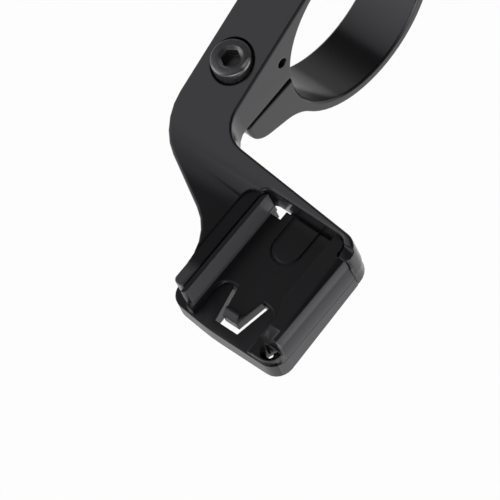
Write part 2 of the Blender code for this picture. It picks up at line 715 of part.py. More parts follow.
def hook_room():
    """Room for the arm's hook and its skirt at the tray's right back corner."""
    left = HOOK_RIGHT - SKIRT_LENGTH - TRAY_CLEARANCE
    front = BLOCK_BACK + SKIRT_STEP * 2
    hook_left = HOOK_LEFT - TRAY_CLEARANCE
    hook_end = HOOK_END - TRAY_CLEARANCE
    right = TRAY_RIGHT + OVERSHOOT
    back = -TRAY_BACK + OVERSHOOT
    outline = rounded([
        (left, front, 0),
        (hook_left, front, WINDOW_CORNER - TRAY_CLEARANCE),
        (hook_left, hook_end, RAIL_CORNER),
        (right, hook_end, 0),
        (right, back, 0),
        (left, back, 0),
    ])
    return prism("hook room", outline, "Z", TRAY_UNDER - OVERSHOOT, TRAY_TOP + OVERSHOOT)


def channel_cutter():
    """The channel from the back to the front, and the rounded front end of the left rail."""
    back = BLOCK_BACK + OVERSHOOT
    front = TRAY_FRONT - OVERSHOOT
    left_end = LEFT_FRONT + LEFT_RAIL_SETBACK
    outline = rounded([
        (CHANNEL_LEFT, back, 0),
        (CHANNEL_LEFT, left_end, min(LEFT_RAIL_ROUND, LEFT_RAIL)),
        (BLOCK_LEFT - OVERSHOOT, left_end, 0),
        (BLOCK_LEFT - OVERSHOOT, front, 0),
        (CHANNEL_RIGHT, front, 0),
        (CHANNEL_RIGHT, back, 0),
    ])
    return prism("channel", outline, "Z", FLOOR, TRAY_TOP + OVERSHOOT)


def loft(name, lower, upper, low, high):
    """A solid between two outlines with as many points, at two heights."""
    mesh = bmesh.new()
    rings = [[mesh.verts.new((x, y, z)) for x, y in ring] for ring, z in ((lower, low), (upper, high))]
    mesh.faces.new(rings[0])
    mesh.faces.new(rings[1])
    for i in range(len(lower)):
        j = (i + 1) % len(lower)
        mesh.faces.new((rings[0][i], rings[0][j], rings[1][j], rings[1][i]))
    bmesh.ops.triangulate(mesh, faces=mesh.faces)
    return finish_mesh(mesh, name)


def cut_rail_ends(tray):
    """The upright end of the right rail, its sloping lead-in and the low corner before it."""
    foot = FLOOR + RAIL_FOOT
    above = TRAY_TOP + OVERSHOOT
    past = 1 + OVERSHOOT / (TRAY_TOP - foot)
    inside = CHANNEL_RIGHT - OVERSHOOT
    front = TRAY_FRONT - OVERSHOOT
    reach = TRAY_RIGHT + OVERSHOOT
    cut(tray, block("rail end", (inside, reach), (front, RAIL_END), (foot, above)))
    foot_right = CHANNEL_RIGHT + LEAD_IN_WIDTH - LEAD_IN_SKEW
    lower = [(inside, front), (foot_right, front), (foot_right, RAIL_END), (inside, RAIL_END)]
    top_right = foot_right + LEAD_IN_SKEW * past
    top_back = RAIL_END + LEAD_IN_LENGTH * past
    upper = [(inside, front), (top_right, front), (top_right, top_back), (inside, top_back)]
    cut(tray, loft("lead-in", lower, upper, foot, above))
    flare_start = RAIL_END + LEAD_IN_LENGTH + LEAD_IN_FLARE_LENGTH
    flare_end = RAIL_END + LEAD_IN_LENGTH
    sink = RAIL_FOOT / 2
    lower = [(inside, front), (CHANNEL_RIGHT - sink, front), (CHANNEL_RIGHT - sink, flare_start),
             (inside, flare_start)]
    wide = CHANNEL_RIGHT + LEAD_IN_FLARE * past
    upper = [(inside, front), (wide, flare_end), (CHANNEL_RIGHT - sink, flare_start),
             (inside, flare_start)]
    cut(tray, loft("flare", lower, upper, foot - sink, above))
    low = FLOOR - CORNER_DROP
    corner = CHANNEL_RIGHT + RIGHT_RAIL * CORNER_POCKET_START
    limits = (TRAY_FRONT + CORNER_POCKET_INSET / 4, RAIL_END - TRAY_CLEARANCE / 2)
    cut(tray, low_corner(corner, limits, low))


def low_corner(left, limits, low):
    """The pocket in the tray's front right corner, with a thin rim left round it."""
    right = TRAY_RIGHT - CORNER_POCKET_INSET / 4
    outline = rounded([
        (left, limits[0], CORNER_POCKET_INSET),
        (right, limits[0], TRAY_CORNER - CORNER_POCKET_INSET / 4),
        (right, limits[1], 0),
        (left, limits[1], 0),
    ])
    return prism("low corner", outline, "Z", low, TRAY_TOP)


def cut_arch_and_tongue(tray):
    """The arched recess open to the front, and the slot on three sides of the tongue."""
    half = ARCH_WIDTH / 2
    back = TONGUE_ROOT + TONGUE_SLOT / 4
    arch = rounded([
        (CHANNEL_MIDDLE - half, back, ARCH_CORNER),
        (CHANNEL_MIDDLE - half, TRAY_FRONT - OVERSHOOT, 0),
        (CHANNEL_MIDDLE + half, TRAY_FRONT - OVERSHOOT, 0),
        (CHANNEL_MIDDLE + half, back, ARCH_CORNER),
    ])
    relief = prism("arch", arch, "Z", FLOOR - ARCH_DEPTH, FLOOR + OVERSHOOT)
    join(relief, prism("slot", tongue_plan(TONGUE_SLOT, 0), "Z", -BAND, FLOOR + OVERSHOOT / 2))
    cut(relief, prism("tongue", tongue_plan(0, OVERSHOOT), "Z", -BAND * 2, BAND * 2))
    cut(tray, relief)


def tongue_plan(margin, past_root):
    """The tongue's plan, grown by a margin at its sides and tip, and past its root."""
    root = TONGUE_ROOT + past_root
    tip = TONGUE_ROOT - TONGUE_LENGTH - margin
    taper = (TONGUE_ROOT_WIDTH - TONGUE_TIP_WIDTH) / 2 / TONGUE_LENGTH
    root_half = TONGUE_ROOT_WIDTH / 2 + margin + taper * past_root
    tip_half = TONGUE_TIP_WIDTH / 2 + margin - taper * margin
    return [
        (CHANNEL_MIDDLE - root_half, root), (CHANNEL_MIDDLE - tip_half, tip),
        (CHANNEL_MIDDLE + tip_half, tip), (CHANNEL_MIDDLE + root_half, root),
    ]


def catch():
    """The wedge on the tongue's tip that snaps behind the computer's foot."""
    tip = TONGUE_ROOT - TONGUE_LENGTH
    half = TONGUE_TIP_WIDTH / 2 - CATCH_INSET
    wedge = [
        (tip + CATCH_INSET, FLOOR - ARCH_DEPTH), (tip + CATCH_INSET, FLOOR + CATCH_HEIGHT / 5),
        (tip + CATCH_HEIGHT, FLOOR + CATCH_HEIGHT), (tip + CATCH_HEIGHT * 1.5, FLOOR + CATCH_HEIGHT),
        (tip + CATCH_HEIGHT * 2, FLOOR - ARCH_DEPTH),
    ]
    return prism("catch", wedge, "X", CHANNEL_MIDDLE - half, CHANNEL_MIDDLE + half)


def cut_pad_groove(tray):
    """The U-shaped groove round the pad at the back of the channel."""
    grown = PAD_WIDTH / 2 + PAD_GROOVE
    back = BLOCK_BACK + OVERSHOOT
    plans = []
    for half in (grown, PAD_WIDTH / 2):
        middle = BLOCK_BACK - PAD_LENGTH + grown
        bend = arc((CHANNEL_MIDDLE, middle), half, math.pi, 2 * math.pi, PITCH * 2)
        plans.append([(CHANNEL_MIDDLE - half, back)] + bend + [(CHANNEL_MIDDLE + half, back)])
    groove = prism("groove", plans[0], "Z", FLOOR - PAD_GROOVE, FLOOR + PAD_GROOVE)
    cut(groove, prism("pad", plans[1], "Z", -BAND, BAND))
    cut(tray, groove)


def cut_core_holes(tray):
    """The through holes that the mould leaves at the corners of the channel."""
    front = BLOCK_BACK - CORE_HOLE_LENGTH
    back = -TRAY_BACK + OVERSHOOT
    left = CHANNEL_LEFT + TRAY_CLEARANCE / 3
    right = left + CORE_HOLE_WIDTH
    cut(tray, block("core hole", (left, right), (front, back), (-BAND, FLOOR + OVERSHOOT)))
    limits = (front + CORE_HOLE_LENGTH * 0.75, back)
    under = FLOOR - FLOOR_THICKNESS * 0.75
    cut(tray, block("core relief", (left - CORE_RELIEF, right - TRAY_CLEARANCE), limits, (-BAND, under)))
    radius = SMALL_HOLE_DIAMETER / 2
    back_hole = (CHANNEL_RIGHT - SMALL_HOLE_EDGE, BLOCK_BACK - radius * 2)
    corner_hole = (CHANNEL_RIGHT + SMALL_HOLE_EDGE + radius / 4, TRAY_FRONT + radius * 3.5)
    for centre in (back_hole, corner_hole):
        cut(tray, cylinder("small hole", centre, radius, "Z", -BAND, BAND, PITCH * 4))
    skin = FLOOR - CORNER_DROP - SMALL_HOLE_SKIN
    cut(tray, cylinder("counterbore", corner_hole, radius * 2.4, "Z", -BAND, skin, PITCH * 4))


def cut_underside(tray):
    """Pockets core out the floor from below, one under the tongue and one under the right rail."""
    back = -TRAY_BACK - UNDER_WALL / 2
    top = FLOOR - FLOOR_THICKNESS
    rib = (CHANNEL_RIGHT - RIB_THICKNESS / 2, CHANNEL_RIGHT + RIB_THICKNESS / 2)
    slot_left = CHANNEL_MIDDLE - TONGUE_ROOT_WIDTH / 2 - TONGUE_SLOT + TRAY_CLEARANCE
    pockets = [
        ((slot_left, rib[0]), TRAY_FRONT + FRONT_WALL * 0.6),
        ((rib[1], rib[1] + RIGHT_RAIL * SIDE_POCKET_SHARE), RAIL_END + RIB_THICKNESS),
    ]
    for limits, front in pockets:
        cut(tray, block("pocket", limits, (front, back), (TRAY_UNDER - OVERSHOOT, top)))
    for place in tray_screw_places():
        radius = TRAY_SCREW_HEAD_DIAMETER / 2 + TRAY_CLEARANCE
        shank = TRAY_SCREW_DIAMETER / 2 + TRAY_CLEARANCE
        sink = TRAY_SCREW_HEAD_HEIGHT
        profile = [
            (0, -sink), (radius, -sink), (radius, sink / 5), (shank, sink),
            (shank, FLANGE_THICKNESS + OVERSHOOT), (0, FLANGE_THICKNESS + OVERSHOOT),
        ]
        seat = (place[0], place[1], under_tray(place[1]) + TRAY_SCREW_SUNK)
        cut(tray, turned("countersink", profile, seat, PITCH * 3))


def material(name, colour, roughness, metallic):
    made = bpy.data.materials.new(name)
    made.use_nodes = True
    shader = made.node_tree.nodes["Principled BSDF"]
    shader.inputs["Base Color"].default_value = (*colour, 1)
    shader.inputs["Roughness"].default_value = roughness
    shader.inputs["Metallic"].default_value = metallic
    return made


def main():
    for old in list(bpy.data.objects):
        bpy.data.objects.remove(old)
    anodised = material("black anodised aluminium", (0.030, 0.030, 0.033), 0.42, 0.6)
    moulded = material("black moulded plastic", (0.014, 0.014, 0.016), 0.5, 0.0)
    oxide = material("black oxide steel", (0.045, 0.045, 0.050), 0.3, 1.0)
    rear, front = tray_screw_places()
    finishes = [
        (make_arm(), anodised),
        (make_jaw(), anodised),
        (make_tray(), moulded),
        (make_hinge_pin(), oxide),
        (make_clamp_screw(), oxide),
        (make_tray_screw("tray_screw_rear", rear), oxide),
        (make_tray_screw("tray_screw_front", front), oxide),
    ]
    for piece, finish in finishes:
        piece.data.materials.clear()
        piece.data.materials.append(finish)
        piece.data.shade_smooth()
        piece.data.set_sharp_from_angle(angle=math.radians(30))


main()
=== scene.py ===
# %% [markdown]
# A bike computer mount, dressed for its picture.
#
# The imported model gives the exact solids, made of flat facets. This lesson loads them as a fixed
# frame, sets up the camera, builds three black finishes from shader nodes, makes a smoother or a
# finer piece for each solid, and then lights the mount as a product picture is lit.

# %% Load the frame
import json
import math

import bpy
from mathutils import Matrix, Vector


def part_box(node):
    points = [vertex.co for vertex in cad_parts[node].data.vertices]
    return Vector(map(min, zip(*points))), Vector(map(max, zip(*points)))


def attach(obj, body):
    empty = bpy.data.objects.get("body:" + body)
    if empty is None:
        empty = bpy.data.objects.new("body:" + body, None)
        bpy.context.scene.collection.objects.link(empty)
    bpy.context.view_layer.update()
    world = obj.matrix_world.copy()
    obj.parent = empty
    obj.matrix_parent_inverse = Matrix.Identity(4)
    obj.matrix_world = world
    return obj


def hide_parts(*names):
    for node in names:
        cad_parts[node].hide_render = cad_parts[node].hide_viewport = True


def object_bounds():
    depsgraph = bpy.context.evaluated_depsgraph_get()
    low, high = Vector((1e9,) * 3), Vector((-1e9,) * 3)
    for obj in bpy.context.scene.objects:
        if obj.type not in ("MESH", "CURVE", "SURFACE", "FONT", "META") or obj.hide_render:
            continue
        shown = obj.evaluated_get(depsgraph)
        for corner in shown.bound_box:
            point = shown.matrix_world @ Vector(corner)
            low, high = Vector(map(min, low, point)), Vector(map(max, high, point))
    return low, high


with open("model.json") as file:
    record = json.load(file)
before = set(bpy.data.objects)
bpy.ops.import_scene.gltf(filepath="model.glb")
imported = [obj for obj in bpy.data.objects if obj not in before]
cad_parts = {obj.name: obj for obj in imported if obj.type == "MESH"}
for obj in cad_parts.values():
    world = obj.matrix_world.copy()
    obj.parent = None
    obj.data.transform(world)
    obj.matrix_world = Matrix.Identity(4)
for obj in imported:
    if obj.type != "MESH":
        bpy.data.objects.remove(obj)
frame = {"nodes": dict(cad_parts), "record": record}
cad_box = [list(corner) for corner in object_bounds()]
MM = 0.001
print("pieces in the frame:", ", ".join(sorted(frame["nodes"])))

# %% [markdown]
# The camera looks down on the mount from its front right, with a very long lens, so that parallel
# edges stay parallel. Three unit vectors say how it is turned: which way is right in the picture,
# which way is up, and which way leads back to the lens. The up that is written down is rough, and
# two cross products make it square to the others. The middle of the picture is given as a distance
# to the right and up, measured from the centre of the handlebar bore. Three angles would do as
# well, but the vectors are easier to check against the edges of the picture.

# %% Camera
RIGHT = Vector((0.739, 0.627, -0.2455)).normalized()
ROUGHLY_UP = Vector((-0.480, 0.747, 0.4617)).normalized()
BACK = RIGHT.cross(ROUGHLY_UP).normalized()
UP = BACK.cross(RIGHT)
MIDDLE_RIGHT = -13.365 * MM
MIDDLE_UP = -40.05 * MM
PICTURE_WIDTH = 79.75 * MM
LENS = 1500.0
SENSOR = 36.0
CLIP_START = 0.1
CLIP_END = 20.0


def make_camera():
    """A camera with a long lens, as far away as its picture's width asks for."""
    lens_data = bpy.data.cameras.new("camera")
    lens_data.lens = LENS
    lens_data.sensor_width = SENSOR
    lens_data.clip_start = CLIP_START
    lens_data.clip_end = CLIP_END
    made = bpy.data.objects.new("camera", lens_data)
    bpy.context.scene.collection.objects.link(made)
    distance = PICTURE_WIDTH * LENS / SENSOR
    place = RIGHT * MIDDLE_RIGHT + UP * MIDDLE_UP + BACK * distance
    turn = Matrix((RIGHT, UP, BACK)).transposed().to_4x4()
    made.matrix_world = Matrix.Translation(place) @ turn
    return made


camera = make_camera()
bpy.context.scene.camera = camera
print(f"camera {camera.location.length:.2f} m away, picture {PICTURE_WIDTH / MM:.1f} mm wide")

# %% [markdown]
# Materials are built here as trees of nodes. Two small helpers keep that readable: one adds a node
# at a place in the editor, so that the tree is laid out when it is opened there, and one adds a
# Math node and returns its output.

# %% Helpers for shader nodes
def add_node(tree, kind, x, y, **settings):
    """One node at a place in the editor, with its plain settings."""
    node = tree.nodes.new(kind)
    node.location = (x, y)
    for name, value in settings.items():
        setattr(node, name, value)
    return node


def math_node(tree, operation, x, y, first, second):
    """A Math node whose two inputs are sockets or numbers."""
    node = add_node(tree, "ShaderNodeMath", x, y, operation=operation)
    for socket, value in zip(node.inputs, (first, second)):
        if isinstance(value, (int, float)):
            socket.default_value = value
        else:
            tree.links.new(value, socket)
    return node.outputs[0]


print("helpers: add_node, math_node")

# %% [markdown]
# Every finish here is a black one, and what tells black finishes apart is their grain. A node group
# makes that grain once, at a size and depth that each material chooses: a fine noise for the bump,
# and a broad soft one that varies the roughness as handling does. No real edge is quite sharp, so
# the same group starts from a Bevel node, which rounds the shading of each edge without a new face.
# The grain's size is in millimetres, and the edge's radius in metres, as the Bevel node wants it.

# %% Grain group
GRAIN_INPUTS = {
    "Grain size": 0.1,
    "Depth": 0.1,
    "Roughness": 0.5,
    "Spread": 0.05,
    "Edge radius": 0.1 * MM,
}
GRAIN_OUTPUTS = {
    "Normal": "NodeSocketVector",
    "Roughness": "NodeSocketFloat",
    "Speckle": "NodeSocketFloat",
}
FINE_DETAIL = 3
BROAD_DETAIL = 2
BROAD_SCALE = 180
NOISE_MIDDLE = 0.5
GRAIN_HEIGHT = 0.02 * MM
ROUNDING_SAMPLES = 6


def make_grain_group():
    """Bump normal, a roughness and a speckle mask, from noises on Object coordinates."""
    group = bpy.data.node_groups.new("fine_grain", "ShaderNodeTree")
    sockets = group.interface
    for name, value in GRAIN_INPUTS.items():
        socket = sockets.new_socket(name=name, in_out="INPUT", socket_type="NodeSocketFloat")
        socket.default_value = value
    for name, kind in GRAIN_OUTPUTS.items():
        sockets.new_socket(name=name, in_out="OUTPUT", socket_type=kind)
    given = add_node(group, "NodeGroupInput", -900, 0)
    place = add_node(group, "ShaderNodeTexCoord", -900, -200)
    scale = math_node(group, "DIVIDE", -700, 100, 1 / MM, given.outputs["Grain size"])
    fine = add_node(group, "ShaderNodeTexNoise", -500, 100)
    fine.inputs["Detail"].default_value = FINE_DETAIL
    group.links.new(place.outputs["Object"], fine.inputs["Vector"])
    group.links.new(scale, fine.inputs["Scale"])
    broad = add_node(group, "ShaderNodeTexNoise", -500, -200)
    broad.inputs["Scale"].default_value = BROAD_SCALE
    broad.inputs["Detail"].default_value = BROAD_DETAIL
    group.links.new(place.outputs["Object"], broad.inputs["Vector"])
    rounded = add_node(group, "ShaderNodeBevel", -500, 400, samples=ROUNDING_SAMPLES)
    group.links.new(given.outputs["Edge radius"], rounded.inputs["Radius"])
    bump = add_node(group, "ShaderNodeBump", -200, 100)
    bump.inputs["Distance"].default_value = GRAIN_HEIGHT
    group.links.new(rounded.outputs["Normal"], bump.inputs["Normal"])
    group.links.new(given.outputs["Depth"], bump.inputs["Strength"])
    group.links.new(fine.outputs["Fac"], bump.inputs["Height"])
    shift = math_node(group, "SUBTRACT", -300, -200, broad.outputs["Fac"], NOISE_MIDDLE)
    spread = math_node(group, "MULTIPLY", -150, -200, shift, given.outputs["Spread"])
    rough = math_node(group, "ADD", 0, -200, spread, given.outputs["Roughness"])
    result = add_node(group, "NodeGroupOutput", 200, 0)
    group.links.new(bump.outputs["Normal"], result.inputs["Normal"])
    group.links.new(rough, result.inputs["Roughness"])
    group.links.new(fine.outputs["Fac"], result.inputs["Speckle"])
    return group


grain_group = make_grain_group()
print("grain group:", len(grain_group.nodes), "nodes")

# %% [markdown]
# A second group finds edges. A Bevel node gives the normal as if the edges were rounded, and
# where it differs from the true one, an edge is near. Edges of black parts wear a little paler; on
# the screws and the pin the paler edges are also a painted highlight.
# Painting each edge by hand would do the same, but only until the shape changes.

# %% Edge group
WEAR_WIDTH = 0.2 * MM
WEAR_SAMPLES = 4
WEAR_SHARPNESS = 8.0


def make_edge_group():
    """A mask that is 1 on edges and 0 on flats, for the given width."""
    group = bpy.data.node_groups.new("edge_wear", "ShaderNodeTree")
    width = group.interface.new_socket(name="Width", in_out="INPUT", socket_type="NodeSocketFloat")
    width.default_value = WEAR_WIDTH
    group.interface.new_socket(name="Mask", in_out="OUTPUT", socket_type="NodeSocketFloat")
    given = add_node(group, "NodeGroupInput", -900, 0)
    rounded = add_node(group, "ShaderNodeBevel", -700, 100, samples=WEAR_SAMPLES)
    true_normal = add_node(group, "ShaderNodeNewGeometry", -700, -100)
    agree = add_node(group, "ShaderNodeVectorMath", -500, 0, operation="DOT_PRODUCT")
    group.links.new(given.outputs["Width"], rounded.inputs["Radius"])
    group.links.new(rounded.outputs["Normal"], agree.inputs[0])
    group.links.new(true_normal.outputs["Normal"], agree.inputs[1])
    differ = math_node(group, "SUBTRACT", -300, 0, 1.0, agree.outputs["Value"])
    sharp = math_node(group, "MULTIPLY", -150, 0, differ, WEAR_SHARPNESS)
    clamp = add_node(group, "ShaderNodeClamp", 0, 0)
    group.links.new(sharp, clamp.inputs["Value"])
    result = add_node(group, "NodeGroupOutput", 200, 0)
    group.links.new(clamp.outputs["Result"], result.inputs["Mask"])
    return group


edge_group = make_edge_group()
print("edge group:", len(edge_group.nodes), "nodes")

# %% [markdown]
# Light that falls more strongly on some places is painted into the colour there. A third group marks
# such a place: a box with soft sides, given by its centre and its reach along each axis. It compares
# the
# Object coordinates with the box, so the painted patch stays on the piece wherever the piece is seen
# from.

# %% Zone group
def make_zone_group():
    """A mask that is 1 in the core of a box and fades to 0 at its sides."""
    group = bpy.data.node_groups.new("painted_light_zone", "ShaderNodeTree")
    for name in ("Centre", "Reach"):
        group.interface.new_socket(name=name, in_out="INPUT", socket_type="NodeSocketVector")
    group.interface.new_socket(name="Core", in_out="INPUT", socket_type="NodeSocketFloat")
    group.interface.new_socket(name="Mask", in_out="OUTPUT", socket_type="NodeSocketFloat")
    given = add_node(group, "NodeGroupInput", -1100, 0)
    place = add_node(group, "ShaderNodeTexCoord", -1100, 300)
    away = add_node(group, "ShaderNodeVectorMath", -900, 200, operation="SUBTRACT")
    share = add_node(group, "ShaderNodeVectorMath", -700, 200, operation="DIVIDE")
    size = add_node(group, "ShaderNodeVectorMath", -500, 200, operation="ABSOLUTE")
    parts = add_node(group, "ShaderNodeSeparateXYZ", -300, 200)
    group.links.new(place.outputs["Object"], away.inputs[0])
    group.links.new(given.outputs["Centre"], away.inputs[1])
    group.links.new(away.outputs["Vector"], share.inputs[0])
    group.links.new(given.outputs["Reach"], share.inputs[1])
    group.links.new(share.outputs["Vector"], size.inputs[0])
    group.links.new(size.outputs["Vector"], parts.inputs["Vector"])
    wide = math_node(group, "MAXIMUM", -100, 250, parts.outputs["X"], parts.outputs["Y"])
    widest = math_node(group, "MAXIMUM", 50, 200, wide, parts.outputs["Z"])
    fade = add_node(group, "ShaderNodeMapRange", 250, 100, interpolation_type="SMOOTHSTEP")
    fade.inputs["From Min"].default_value = 1.0
    group.links.new(widest, fade.inputs["Value"])
    group.links.new(given.outputs["Core"], fade.inputs["From Max"])
    result = add_node(group, "NodeGroupOutput", 450, 0)
    group.links.new(fade.outputs["Result"], result.inputs["Mask"])
    return group


zone_group = make_zone_group()
print("zone group:", len(zone_group.nodes), "nodes")

# %% [markdown]
# The finishes share one layout: a dark colour, a paler one for specks and edges, and the grain
# group for bump and roughness. Constants such as the specular level sit on the shader itself, and
# a faint cool tint of the gloss is the same for all three. The grain's size and the width of the
# edges are given in millimetres.

# %% Finish maker
COOL_SHEEN = (0.96, 0.94, 1.0, 1)
SPECKLE_SHARE = 0.35


def make_finish(
    name, dark, pale, roughness, spread, grain_size, depth, edge, wear, metallic, specular
):
    """A black finish with its own grain, colour variation and paler edges."""
    made = bpy.data.materials.new(name)
    made.use_nodes = True
    tree = made.node_tree
    shader = tree.nodes["Principled BSDF"]
    shader.inputs["Metallic"].default_value = metallic
    shader.inputs["Specular IOR Level"].default_value = specular
    shader.inputs["Specular Tint"].default_value = COOL_SHEEN
    grain = add_node(tree, "ShaderNodeGroup", -600, -200, node_tree=grain_group)
    grain.inputs["Grain size"].default_value = grain_size
    grain.inputs["Depth"].default_value = depth
    grain.inputs["Roughness"].default_value = roughness
    grain.inputs["Spread"].default_value = spread
    grain.inputs["Edge radius"].default_value = edge * MM
    worn = add_node(tree, "ShaderNodeGroup", -1000, 200, node_tree=edge_group)
    worn.inputs["Width"].default_value = edge * MM
    speckle = math_node(tree, "MULTIPLY", -820, 100, grain.outputs["Speckle"], SPECKLE_SHARE)
    # The paler edges are wear, and on the steel parts, with their high wear, also a painted
    # highlight.
    rubbed = math_node(tree, "MULTIPLY", -820, 250, worn.outputs["Mask"], wear)
    amount = math_node(tree, "ADD", -680, 150, speckle, rubbed)
    blend = add_node(tree, "ShaderNodeMix", -540, 300, data_type="RGBA")
    blend.inputs["A"].default_value = (*dark, 1)
    blend.inputs["B"].default_value = (*pale, 1)
    tree.links.new(amount, blend.inputs["Factor"])
    tree.links.new(blend.outputs["Result"], shader.inputs["Base Color"])
    tree.links.new(grain.outputs["Roughness"], shader.inputs["Roughness"])
    tree.links.new(grain.outputs["Normal"], shader.inputs["Normal"])
    return made


print("helper: make_finish")

# %% [markdown]
# The arm and the jaw are aluminium, blasted a little and then anodised black. The dye lies in a
# clear hard layer, so the finish is a dark dielectric one and not a metallic one, with a satin
# gloss and a grain that is barely seen.

# %% Anodised aluminium
anodised = make_finish(
    "satin_anodised",
    dark=(0.009, 0.009, 0.010),
    pale=(0.018, 0.018, 0.020),
    roughness=0.20,
    spread=0.05,
    grain_size=0.09,
    depth=0.10,
    edge=0.28,
    wear=0.1,
    metallic=0.0,
    specular=0.53,
)
print("finish:", anodised.name)

# %% [markdown]
# The tray is moulded in a black plastic such as nylon. It is rougher than the anodised parts, as a
# lightly textured mould leaves it, and its edges go pale sooner.

# %% Moulded plastic
moulded = make_finish(
    "moulded_plastic",
    dark=(0.007, 0.007, 0.008),
    pale=(0.014, 0.014, 0.016),
    roughness=0.34,
    spread=0.06,
    grain_size=0.16,
    depth=0.15,
    edge=0.24,
    wear=0.3,
    metallic=0.0,
    specular=0.53,
)
print("finish:", moulded.name)

# %% [markdown]
# The screws and the pin are steel with a black oxide. The layer is so thin that the metal shines
# through it, so this finish is mostly metallic, with a mottled roughness and bright edges, partly
# worn and partly a painted highlight.

# %% Black oxide
oxide = make_finish(
    "black_oxide",
    dark=(0.085, 0.085, 0.088),
    # The pale edge colour and the high wear are partly wear and partly a painted highlight.
    pale=(0.45, 0.45, 0.47),
    roughness=0.30,
    spread=0.20,
    grain_size=0.30,
    depth=0.45,
    edge=0.09,
    wear=0.9,
    metallic=0.85,
    specular=0.5,
)
print("finish:", oxide.name)

# %% [markdown]
# Each visible piece stands for one imported node. It gets its finish, and it rides on the body that
# the node belongs to.

# %% Helpers to select and dress a piece
def only(piece):
    """Make one object the selected and active one."""
    bpy.ops.object.select_all(action="DESELECT")
    piece.select_set(True)
    bpy.context.view_layer.objects.active = piece


def body_of_node(name):
    """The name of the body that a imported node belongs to."""
    for body, members in frame["record"]["behaviour"]["bodies"].items():
        if name in members:
            return body
    raise KeyError(name)


def dress(piece, node_name, finish):
    """Give a finished piece its material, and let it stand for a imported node."""
    piece.data.materials.clear()
    piece.data.materials.append(finish)
    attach(piece, body_of_node(node_name))
    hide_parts(node_name)


print("helpers: only, body_of_node, dress")

# %% [markdown]
# The arm, the jaw and the tray are machined or moulded smooth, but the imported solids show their
# facets. Each gets a stand-in: a copy of its mesh, whose loose triangles are merged, whose coplanar
# ones are dissolved into whole faces, and which is shaded smooth wherever two faces meet at less
# than a set angle. A last modifier makes the shading follow the large faces, so that a flat stays
# flat right up to its rounded edge. Modelling them afresh would risk a shape that is not the CAD's.

# %% Helper for smooth stand-ins
MERGE_DISTANCE = 0.002 * MM
FLAT_ANGLE = math.radians(0.3)
SMOOTH_ANGLE = math.radians(32)


def smooth_copy(node_name, piece_name):
    """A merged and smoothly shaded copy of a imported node's mesh."""
    mesh = frame["nodes"][node_name].data.copy()
    mesh.name = piece_name
    piece = bpy.data.objects.new(piece_name, mesh)
    bpy.context.scene.collection.objects.link(piece)
    only(piece)
    bpy.ops.object.mode_set(mode="EDIT")
    bpy.ops.mesh.select_all(action="SELECT")
    bpy.ops.mesh.remove_doubles(threshold=MERGE_DISTANCE)
    bpy.ops.mesh.dissolve_limited(angle_limit=FLAT_ANGLE)
    bpy.ops.object.mode_set(mode="OBJECT")
    bpy.ops.object.shade_smooth_by_angle(angle=SMOOTH_ANGLE)
    weigh = piece.modifiers.new("follow large faces", "WEIGHTED_NORMAL")
    weigh.keep_sharp = True
    bpy.ops.object.modifier_apply(modifier=weigh.name)
    return piece


print("helper: smooth_copy")

# %% [markdown]
# Small changes to a mesh are made as by hand, in edit mode, but the faces are picked in code. A
# test looks at each face's centre and normal, and says whether the face is one of those to move.

# %% Helpers to pick and move faces
def edit_chosen(piece, chosen):
    """Enter edit mode with the faces selected that a test picks, and count them."""
    only(piece)
    bpy.ops.object.mode_set(mode="EDIT")
    bpy.ops.mesh.select_mode(type="FACE")
    bpy.ops.mesh.select_all(action="DESELECT")
    bpy.ops.object.mode_set(mode="OBJECT")
    for polygon in piece.data.polygons:
        polygon.select = chosen(polygon.center, polygon.normal)
    count = sum(polygon.select for polygon in piece.data.polygons)
    bpy.ops.object.mode_set(mode="EDIT")
    return count


def shift_faces(piece, chosen, shift):
    """Move the faces that a test picks, and count them."""
    count = edit_chosen(piece, chosen)
    bpy.ops.transform.translate(value=shift)
    bpy.ops.object.mode_set(mode="OBJECT")
    return count


print("helpers: edit_chosen, shift_faces")

# %% [markdown]
# The arm ends in a short hook at the tray's right side. On the real mount hardly a gap shows between
# the hook's end and the tray, so the end faces of the stand-in move over by most of the clearance.

# %% Arm
FACING = 0.9
HOOK_WIDTH = 2.25 * MM
HOOK_LENGTH = 3.3 * MM
HOOK_REACH = 0.6 * MM
HOOK_SHIFT = 0.28 * MM
hook_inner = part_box("bracket_arm")[1][0] - HOOK_WIDTH
hook_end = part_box("cradle_tray")[1][1] - HOOK_LENGTH


def on_hook_end(centre, normal):
    """Whether a face of the arm lies on the end of the hook."""
    near = abs(centre.y - hook_end) < HOOK_REACH
    return near and centre.x > hook_inner and normal.y < -FACING


arm = smooth_copy("bracket_arm", "machined_arm")
moved = shift_faces(arm, on_hook_end, (0, -HOOK_SHIFT, 0))
dress(arm, "bracket_arm", anodised)
print(f"{arm.name}: {len(arm.data.polygons)} faces, {moved} of them on the hook's end")

# %% [markdown]
# The jaw is the lower half of the clamp. Its shape is right as it is, so it is only smoothed.

# %% Jaw
jaw = smooth_copy("clamp_jaw", "machined_jaw")
dress(jaw, "clamp_jaw", anodised)
print(f"{jaw.name}: {len(jaw.data.polygons)} faces")

# %% [markdown]
# The tray holds the foot of the computer between two rails. A groove in its floor goes round a
# raised pad. It was cut deep enough to be a clear form in the solid, and the real one is shallower,
# so the groove's floor is lifted here.

# %% Tray
RAIL_HEIGHT = 4.0 * MM
GROOVE_DEPTH = 0.6 * MM
GROOVE_FILL = 0.6
LEVEL_ERROR = 0.05 * MM
groove_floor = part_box("cradle_tray")[1][2] - RAIL_HEIGHT - GROOVE_DEPTH


def on_groove_floor(centre, normal):
    """Whether a face of the tray lies on the floor of the groove."""
    return abs(centre.z - groove_floor) < LEVEL_ERROR and normal.z > FACING


tray = smooth_copy("cradle_tray", "moulded_tray")
moved = shift_faces(tray, on_groove_floor, (0, 0, GROOVE_DEPTH * GROOVE_FILL))
dress(tray, "cradle_tray", moulded)
print(f"{tray.name}: {len(tray.data.polygons)} faces, {moved} of them on the groove's floor")
